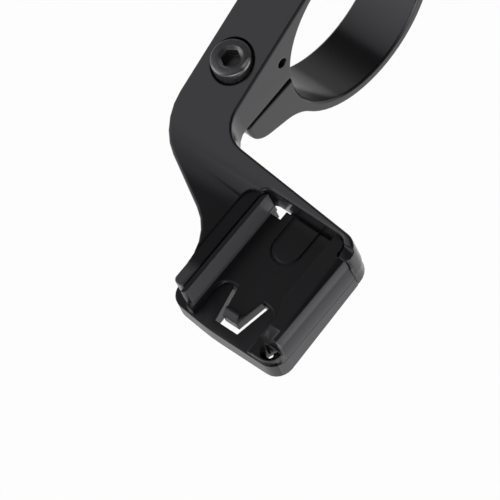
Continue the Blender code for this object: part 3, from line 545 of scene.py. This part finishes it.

# %% [markdown]
# A patch of painted light is mixed into a finish last, over its speckle and edge wear, with its own
# paler colour. Its centre is measured from the middle of a node's top, so that it moves with the
# node if the imported model changes. Its places and lengths are millimetres, and its core says how
# much of the box is fully pale.

# %% Helpers for painted light
def middle_of_top(node_name):
    """The middle of the top of a node's box, in millimetres."""
    low, high = (Vector(corner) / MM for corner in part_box(node_name))
    return Vector(((low.x + high.x) / 2, (low.y + high.y) / 2, high.z))


def paint_light(finish, label, start, offset, reach, core, colour):
    """Paint a paler colour, standing for light, into a finish inside a soft box, at an offset from a
    start.
    """
    tree = finish.node_tree
    target = tree.nodes["Principled BSDF"].inputs["Base Color"]
    under = target.links[0].from_socket
    zone = add_node(tree, "ShaderNodeGroup", -400, 600, node_tree=zone_group, label=label)
    zone.inputs["Centre"].default_value = (start + Vector(offset)) * MM
    zone.inputs["Reach"].default_value = Vector(reach) * MM
    zone.inputs["Core"].default_value = core
    paler = add_node(tree, "ShaderNodeMix", -200, 400, data_type="RGBA", label=label)
    paler.inputs["B"].default_value = (*colour, 1)
    tree.links.new(zone.outputs["Mask"], paler.inputs["Factor"])
    tree.links.new(under, paler.inputs["A"])
    tree.links.new(paler.outputs["Result"], target)


print("helpers: middle_of_top, rub")

# %% [markdown]
# The computer's foot slides along the left rail and over the lead-in of the right one. Light is
# painted into the tray's colour: paler on the inner side of the left rail, on the right side and on
# the lead-in, with a painted highlight along the top of the right side. The bar beside the tray is
# painted paler as well, where light falls on it.

# %% Painted light on the tray and the arm
LIT_RAIL_GREY = (0.14, 0.14, 0.147)
LIT_SIDE_GREY = (0.07, 0.07, 0.073)
CREST_HIGHLIGHT_GREY = (0.19, 0.19, 0.20)
LIT_FACE_GREY = (0.09, 0.09, 0.095)
tray_top = middle_of_top("cradle_tray")

# Painted light: the inner side of the left rail is painted paler, where light from the right falls
# on it.
paint_light(
    moulded,
    "rail side painted as lit",
    tray_top,
    offset=(-6.83, 0.5, -2.3),
    reach=(0.3, 11.5, 2.4),
    core=0.9,
    colour=LIT_RAIL_GREY,
)
# Painted light: the right side of the tray is painted paler, where light from the right falls on it.
paint_light(
    moulded,
    "right side painted as lit",
    tray_top,
    offset=(12.2, -0.5, -3.2),
    reach=(1.0, 12.5, 6.0),
    core=0.9,
    colour=LIT_SIDE_GREY,
)
# Painted highlight: a pale line along the top edge of the tray's right side.
paint_light(
    moulded,
    "crest painted highlight",
    tray_top,
    offset=(12.2, 0.0, 0.4),
    reach=(1.0, 12.0, 2.4),
    core=0.6,
    colour=CREST_HIGHLIGHT_GREY,
)
# Painted light: the lead-in of the right rail is painted paler, where light falls on it.
paint_light(
    moulded,
    "lead-in painted as lit",
    tray_top,
    offset=(7.1, -7.2, -2.6),
    reach=(1.6, 1.5, 1.8),
    core=0.5,
    colour=LIT_FACE_GREY,
)
# Painted light: the arm's bar beside the tray is painted paler, where light falls on it.
paint_light(
    anodised,
    "bar painted as lit",
    tray_top,
    offset=(-9.8, -8.5, 0.4),
    reach=(2.6, 4.0, 1.2),
    core=0.2,
    colour=LIT_FACE_GREY,
)
print("tray finish:", len(moulded.node_tree.nodes), "nodes")

# %% [markdown]
# Screws and pins are turned parts. Each is made as by hand, upright about the z axis at the origin:
# it starts as a cylinder, and its end faces are picked by their normals, so that they can be
# extruded, narrowed, inset or rounded. Then it moves to its place in the mount.

# %% Helpers for turned pieces
CENTRE = (0, 0, 0)


def cylinder(name, radius, low, high, sides):
    """An upright cylinder about the z axis, between two heights."""
    bpy.ops.object.select_all(action="DESELECT")
    bpy.ops.mesh.primitive_cylinder_add(
        vertices=sides, radius=radius, depth=high - low, location=(0, 0, (low + high) / 2)
    )
    piece = bpy.context.object
    piece.name = name
    bpy.ops.object.transform_apply(location=True, rotation=True, scale=True)
    return piece


def edit_end(piece, way, least=FACING):
    """Enter edit mode with the faces selected that look up, for 1, or down, for -1."""
    edit_chosen(piece, lambda centre, normal: way * normal.z > least)


def raise_top(piece, rise, grow=1.0):
    """Extrude the top face upward, and widen or narrow it."""
    edit_end(piece, 1)
    bpy.ops.mesh.extrude_region_move(TRANSFORM_OT_translate={"value": (0, 0, rise)})
    if grow != 1.0:
        bpy.ops.transform.resize(value=(grow, grow, 1), center_override=CENTRE)
    bpy.ops.object.mode_set(mode="OBJECT")


def round_rim(piece, way, width, segments):
    """Bevel the edge round the end face that looks up or down."""
    edit_end(piece, way)
    bpy.ops.mesh.region_to_loop()
    bpy.ops.mesh.bevel(offset=width, segments=segments, affect="EDGES", clamp_overlap=True)
    bpy.ops.object.mode_set(mode="OBJECT")


def settle(piece, place, angle=SMOOTH_ANGLE):
    """Move a turned piece to its place in the mesh, so that its object stays at the origin."""
    only(piece)
    piece.location = place
    bpy.ops.object.transform_apply(location=True, rotation=True, scale=True)
    bpy.ops.object.shade_smooth_by_angle(angle=angle)


print("helpers: cylinder, edit_end, raise_top, round_rim, settle")

# %% [markdown]
# A key socket is sunk with two Boolean modifiers: one takes away the hexagon for the key, and one
# the shallow cone that leads the key in. The cone is wider than the hexagon's corners by a little,
# and it runs out down the flats, which gives the bright arcs that such a socket shows.

# %% Helpers for sockets
HEXAGON = 6
CONE_SIDES = 48
CONE_SPREAD = 2
CONE_SLOPE = 1.2


def take_away(piece, cutter):
    """Cut one piece out of another with an exact Boolean, and delete the cutter."""
    only(piece)
    cut = piece.modifiers.new("cut", "BOOLEAN")
    cut.operation = "DIFFERENCE"
    cut.solver = "EXACT"
    cut.object = cutter
    bpy.ops.object.modifier_apply(modifier=cut.name)
    bpy.data.objects.remove(cutter)


def hex_socket(piece, across, top, depth):
    """Sink a hexagon, given by the distance across its flats, into the level of a face."""
    corner = across / math.sqrt(3)
    take_away(piece, cylinder("hexagon", corner, top - depth, top + depth, HEXAGON))


def lead_in(piece, mouth, top):
    """Sink a shallow cone, point down, that has the mouth's radius at the level of a face."""
    bpy.ops.object.select_all(action="DESELECT")
    bpy.ops.mesh.primitive_cone_add(
        vertices=CONE_SIDES,
        radius1=0,
        radius2=mouth * CONE_SPREAD,
        depth=mouth * CONE_SLOPE,
        location=(0, 0, top),
    )
    take_away(piece, bpy.context.object)


print("helpers: take_away, hex_socket, lead_in")

# %% [markdown]
# The clamp screw is a socket head cap screw. Its head is a cylinder, extruded upward in steps, so
# that the rings between the steps can take the knurl: every second corner of them is pulled in.
# The knurl stops short of the seat and of the rim, as it does where it is rolled on.

# %% Head of the clamp screw
HEAD_HEIGHT = 4.0 * MM
HEAD_FOOT = 0.3 * MM
KNURL_TOP = HEAD_HEIGHT * 0.78
KNURLS = 44
KNURL_DEPTH = 0.10 * MM
KNURL_END = 0.05 * MM
RIM_RADIUS = 0.35 * MM
RIM_STEPS = 4
KEY_ACROSS = 3.0 * MM
KEY_DEPTH = 2.2 * MM
KEY_LEAD = 0.4 * MM


def knurl(piece, low, high, radius):
    """Pull every second corner in, on the rings between two heights."""
    only(piece)
    turn = math.pi / KNURLS
    for vertex in piece.data.vertices:
        place = round(math.atan2(vertex.co.x, vertex.co.y) / turn)
        vertex.select = low < vertex.co.z < high and place % 2 == 1
    shrink = 1 - KNURL_DEPTH / radius
    bpy.ops.object.mode_set(mode="EDIT")
    bpy.ops.mesh.select_mode(type="VERT")
    bpy.ops.transform.resize(value=(shrink, shrink, 1), center_override=CENTRE)
    bpy.ops.object.mode_set(mode="OBJECT")


def make_head(radius):
    """The head, with a knurled side, a rounded rim and a socket, its seat at the origin."""
    head = cylinder("cap_screw", radius, 0, HEAD_FOOT, KNURLS * 2)
    raise_top(head, KNURL_END)
    raise_top(head, KNURL_TOP - HEAD_FOOT - KNURL_END * 2)
    raise_top(head, KNURL_END)
    raise_top(head, HEAD_HEIGHT - KNURL_TOP)
    knurl(head, HEAD_FOOT + KNURL_END / 2, KNURL_TOP - KNURL_END / 2, radius)
    round_rim(head, 1, RIM_RADIUS, RIM_STEPS)
    hex_socket(head, KEY_ACROSS, HEAD_HEIGHT, KEY_DEPTH)
    lead_in(head, KEY_ACROSS / math.sqrt(3) + KEY_LEAD, HEAD_HEIGHT)
    return head


screw_low, screw_high = (Vector(corner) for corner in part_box("clamp_screw"))
screw = make_head((screw_high.x - screw_low.x) / 2)
print("screw head:", len(screw.data.polygons), "faces")

# %% [markdown]
# The thread is a real helix: a triangle that a Screw modifier winds round the shank, with its ends
# closed and its normals turned outward. The shank's core is as thin as the thread's root, so the
# ridge sinks into it a little, and the three pieces are joined into one.

# %% Thread of the clamp screw
THREAD_PITCH = 0.7 * MM
CREST_RADIUS = 1.95 * MM
RIDGE_SHARE = 0.57
RIDGE_STEPS = 20
TRIANGLE = 3
SHANK_SIDES = 32


def thread_ridge(low, high):
    """A ridge of triangular section, wound round the z axis between two heights."""
    section = THREAD_PITCH * RIDGE_SHARE
    bpy.ops.object.select_all(action="DESELECT")
    bpy.ops.mesh.primitive_circle_add(
        vertices=TRIANGLE,
        radius=section,
        location=(CREST_RADIUS - section, 0, low + section),
        rotation=(math.radians(90), math.radians(90), 0),
    )
    ridge = bpy.context.object
    bpy.ops.object.transform_apply(location=True, rotation=True, scale=True)
    wind = ridge.modifiers.new("wind", "SCREW")
    wind.axis = "Z"
    wind.screw_offset = THREAD_PITCH
    wind.iterations = int((high - low) / THREAD_PITCH)
    wind.steps = RIDGE_STEPS
    wind.render_steps = RIDGE_STEPS
    bpy.ops.object.modifier_apply(modifier=wind.name)
    bpy.ops.object.mode_set(mode="EDIT")
    bpy.ops.mesh.select_all(action="SELECT")
    bpy.ops.mesh.fill_holes(sides=0)
    bpy.ops.mesh.select_all(action="SELECT")
    bpy.ops.mesh.normals_make_consistent(inside=False)
    bpy.ops.object.mode_set(mode="OBJECT")
    return ridge


def join_into(piece, *others):
    """Join other pieces into one."""
    only(piece)
    for other in others:
        other.select_set(True)
    bpy.ops.object.join()


core = CREST_RADIUS - THREAD_PITCH / 2
shank_end = screw_low.z - (screw_high.z - HEAD_HEIGHT)
shank = cylinder("shank", core, shank_end, KNURL_END, SHANK_SIDES)
round_rim(shank, -1, THREAD_PITCH / 2, 1)
join_into(screw, shank, thread_ridge(shank_end + THREAD_PITCH / 2, -THREAD_PITCH))
print("screw with its thread:", len(screw.data.polygons), "faces")

# %% [markdown]
# The finished screw moves to its seat. Highlights are painted on the rim of its head: a bright one
# at the right and a dimmer grey one in front.

# %% Clamp screw
SCREW_ANGLE = math.radians(26)
RIM_HIGHLIGHT = (0.9, 0.9, 0.92)
FRONT_RIM_HIGHLIGHT = (0.22, 0.22, 0.23)

axis = (screw_low + screw_high) / 2
settle(screw, (axis.x, axis.y, screw_high.z - HEAD_HEIGHT), SCREW_ANGLE)
dress(screw, "clamp_screw", oxide)
screw_top = middle_of_top("clamp_screw")
# Painted highlight: a bright patch on the rim of the screw's head, at the right.
paint_light(
    oxide,
    "rim painted highlight at the right",
    screw_top,
    offset=(3.1, 0.6, -0.2),
    reach=(0.6, 1.4, 0.4),
    core=0.2,
    colour=RIM_HIGHLIGHT,
)
# Painted highlight: a dimmer grey patch on the rim of the screw's head, in front.
paint_light(
    oxide,
    "rim painted highlight in front",
    screw_top,
    offset=(-0.4, -3.2, -0.2),
    reach=(2.2, 0.6, 0.4),
    core=0.2,
    colour=FRONT_RIM_HIGHLIGHT,
)
print("clamp screw seated, its finish has", len(oxide.node_tree.nodes), "nodes")

# %% [markdown]
# Two small countersunk screws hold the tray to the arm from below. One is modelled: a short
# cylinder for the head, whose upper face is extruded and narrowed into the cone, the shank and the
# tip. The second is a copy with its own mesh.

# %% Tray screws
SMALL_SIDES = 32
SMALL_SHANK = 0.9 * MM
DRIVE_ACROSS = 0.95 * MM
DRIVE_DEPTH = 0.85 * MM
HEAD_SHARE = 1 / 5
LIP_SHARE = 1 / 5
LIP_BEVEL = 1 / 20
LIP_STEPS = 2
TIP_TAPER = 0.5


def make_small_screw():
    """A countersunk screw about the z axis, head down, with its lowest point at the origin."""
    low, high = (Vector(corner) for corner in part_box("tray_screw_rear"))
    radius = (high.x - low.x) / 2
    length = high.z - low.z
    head = length * HEAD_SHARE
    lip = head * LIP_SHARE
    tip = SMALL_SHANK / 2
    small = cylinder("small_screw", radius, 0, lip, SMALL_SIDES)
    raise_top(small, head - lip, SMALL_SHANK / radius)
    raise_top(small, length - head - tip)
    raise_top(small, tip, TIP_TAPER)
    round_rim(small, -1, head * LIP_BEVEL, LIP_STEPS)
    hex_socket(small, DRIVE_ACROSS, 0, DRIVE_DEPTH)
    return small


first = make_small_screw()
second = bpy.data.objects.new("small_screw_front", first.data.copy())
bpy.context.scene.collection.objects.link(second)
for small, node_name in ((first, "tray_screw_rear"), (second, "tray_screw_front")):
    low, high = (Vector(corner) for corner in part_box(node_name))
    small.name = "small_" + node_name
    settle(small, ((low.x + high.x) / 2, (low.y + high.y) / 2, low.z))
    dress(small, node_name, oxide)
print("small screw:", len(first.data.polygons), "faces each")

# %% [markdown]
# The hinge pin is a plain rod with rounded ends, each with the small dimple that peening leaves.
# An end face is inset twice, and the inner face sinks. The test for its faces is strict here, so
# that the small faces of the rounded rim are not picked with it.

# %% Hinge pin
PIN_SIDES = 40
PIN_BEVEL = 1 / 6
PIN_STEPS = 3
DIMPLE = 0.25 * MM
DIMPLE_INSET = 0.4
FLAT_ON = 0.999


def make_pin():
    """The hinge pin, made upright and then laid along the x axis."""
    low, high = (Vector(corner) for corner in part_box("hinge_pin"))
    radius = (high.z - low.z) / 2
    half = (high.x - low.x) / 2
    pin = cylinder("peened_pin", radius, -half, half, PIN_SIDES)
    for way in (-1, 1):
        round_rim(pin, way, radius * PIN_BEVEL, PIN_STEPS)
        edit_end(pin, way, FLAT_ON)
        bpy.ops.mesh.inset(thickness=radius * DIMPLE_INSET)
        bpy.ops.mesh.inset(thickness=DIMPLE / 2)
        bpy.ops.transform.translate(value=(0, 0, -way * DIMPLE / 2))
        bpy.ops.object.mode_set(mode="OBJECT")
    pin.rotation_euler = (0, math.radians(90), 0)
    settle(pin, (low + high) / 2)
    return pin


pin = make_pin()
dress(pin, "hinge_pin", oxide)
print("hinge pin:", len(pin.data.polygons), "faces")

# %% [markdown]
# The mount lies over a white sweep. The floor is set well below it, so that its shadow is broad and
# faint. To the camera and in reflections the floor glows nearly white by itself, and to all other
# rays it is plain paper, so that it throws no more light on the mount than paper would.

# %% Floor
FLOOR_DROP = 30 * MM
FLOOR_SIZE = 6.0
PAPER_WHITE = (0.85, 0.85, 0.85, 1)
PAPER_ROUGHNESS = 0.9
GLOW_SHARE = 0.97


def make_paper():
    """Paper that shows white to the camera and in glossy reflections."""
    paper = bpy.data.materials.new("white_sweep")
    paper.use_nodes = True
    tree = paper.node_tree
    shader = tree.nodes["Principled BSDF"]
    shader.inputs["Base Color"].default_value = PAPER_WHITE
    shader.inputs["Roughness"].default_value = PAPER_ROUGHNESS
    glow = add_node(tree, "ShaderNodeEmission", 0, -400)
    ray = add_node(tree, "ShaderNodeLightPath", -300, 500)
    camera_ray = ray.outputs["Is Camera Ray"]
    glossy_ray = ray.outputs["Is Glossy Ray"]
    either = math_node(tree, "MAXIMUM", -100, 500, camera_ray, glossy_ray)
    amount = math_node(tree, "MULTIPLY", 100, 500, either, GLOW_SHARE)
    share = add_node(tree, "ShaderNodeMixShader", 300, 200)
    tree.links.new(amount, share.inputs["Fac"])
    tree.links.new(shader.outputs["BSDF"], share.inputs[1])
    tree.links.new(glow.outputs["Emission"], share.inputs[2])
    tree.links.new(share.outputs["Shader"], tree.nodes["Material Output"].inputs["Surface"])
    return paper


bpy.ops.object.select_all(action="DESELECT")
bpy.ops.mesh.primitive_plane_add(size=FLOOR_SIZE, location=(0, 0, cad_box[0][2] - FLOOR_DROP))
floor = bpy.context.object
floor.name = "floor"
floor.data.materials.append(make_paper())
print(f"floor {FLOOR_DROP / MM:.0f} mm below the mount")

# %% [markdown]
# The light of a studio is mostly large white boxes. Here they are soft lobes of the world: each has
# a direction, a strength and a tightness, and a broad even term fills in between. A lobe lights
# from infinitely far away, and shows in the satin surfaces as a box does. The main box hangs above
# and to the left. It has two straight edges, at its back and its right, which the arm's bend shows
# as a change of tone, so its lobe is multiplied by a soft step on each of these two sides.

# %% Helpers for the light
def lobe(tree, looking, direction, strength, tightness, y):
    """The light of one lobe, strongest along its direction."""
    facing = add_node(tree, "ShaderNodeVectorMath", -1200, y, operation="DOT_PRODUCT")
    facing.inputs[1].default_value = Vector(direction).normalized()
    tree.links.new(looking, facing.inputs[0])
    ahead = math_node(tree, "MAXIMUM", -1000, y, facing.outputs["Value"], 0.0)
    narrow = math_node(tree, "POWER", -800, y, ahead, tightness)
    return math_node(tree, "MULTIPLY", -600, y, narrow, strength)


def soft_step(tree, value, end, blur, y):
    """A mask that is 1 below an end and 0 above it, with a blurred edge between."""
    edge = add_node(tree, "ShaderNodeMapRange", -1000, y, interpolation_type="SMOOTHSTEP")
    edge.inputs["From Min"].default_value = end + blur
    edge.inputs["From Max"].default_value = end - blur
    tree.links.new(value, edge.inputs["Value"])
    return edge.outputs["Result"]


print("helpers: lobe, soft_step")

# %% [markdown]
# Four more lobes stand low round the mount, one behind it and three at its corners, and draw the
# edges and the side walls out of the dark. The camera doesn't see any of this light itself: to its
# rays the world is plain white, as the sweep behind a product is.

# %% World
EVEN_LIGHT = 0.04
MAIN_DIRECTION = (-0.50, -0.35, 0.79)
MAIN_STRENGTH = 0.95
MAIN_TIGHTNESS = 6
MAIN_RIGHT_EDGE = -0.22
MAIN_BACK_EDGE = 0.15
MAIN_BLUR = 0.05
SIDE_TIGHTNESS = 10
SIDE_LOBES = [
    ((-0.69, -0.69, 0.24), 1.6),
    ((0.00, 0.97, 0.24), 0.5),
    ((-0.69, 0.69, 0.24), 0.6),
    ((0.69, -0.69, 0.24), 3.6),
]
WHITE = (1, 1, 1, 1)


def add_light(tree):
    """All the light of the studio, as one value that depends on the direction."""
    way = add_node(tree, "ShaderNodeTexCoord", -1400, 0)
    looking = way.outputs["Generated"]
    axes = add_node(tree, "ShaderNodeSeparateXYZ", -1200, 400)
    tree.links.new(looking, axes.inputs["Vector"])
    right = soft_step(tree, axes.outputs["X"], MAIN_RIGHT_EDGE, MAIN_BLUR, 500)
    back = soft_step(tree, axes.outputs["Y"], MAIN_BACK_EDGE, MAIN_BLUR, 300)
    inside = math_node(tree, "MULTIPLY", -800, 400, right, back)
    whole = lobe(tree, looking, MAIN_DIRECTION, MAIN_STRENGTH, MAIN_TIGHTNESS, 0)
    main = math_node(tree, "MULTIPLY", -500, 0, whole, inside)
    total = math_node(tree, "ADD", -400, 0, main, EVEN_LIGHT)
    for count, (direction, strength) in enumerate(SIDE_LOBES, start=1):
        y = -200 * count
        side = lobe(tree, looking, direction, strength, SIDE_TIGHTNESS, y)
        total = math_node(tree, "ADD", -400, y, side, total)
    return total


def make_world():
    """A world that lights as a studio, and looks white to the camera."""
    world = bpy.data.worlds.new("studio")
    world.use_nodes = True
    tree = world.node_tree
    tree.nodes.clear()
    room = add_node(tree, "ShaderNodeBackground", -100, 0)
    tree.links.new(add_light(tree), room.inputs["Color"])
    white = add_node(tree, "ShaderNodeBackground", -100, -200)
    white.inputs["Color"].default_value = WHITE
    ray = add_node(tree, "ShaderNodeLightPath", -300, 300)
    mixed = add_node(tree, "ShaderNodeMixShader", 150, 0)
    tree.links.new(ray.outputs["Is Camera Ray"], mixed.inputs["Fac"])
    tree.links.new(room.outputs["Background"], mixed.inputs[1])
    tree.links.new(white.outputs["Background"], mixed.inputs[2])
    sky = add_node(tree, "ShaderNodeOutputWorld", 350, 0)
    tree.links.new(mixed.outputs["Shader"], sky.inputs["Surface"])
    return world


bpy.context.scene.world = make_world()
bpy.context.scene.view_settings.view_transform = "Standard"
print("world:", len(SIDE_LOBES) + 1, "lobes, white to the camera")
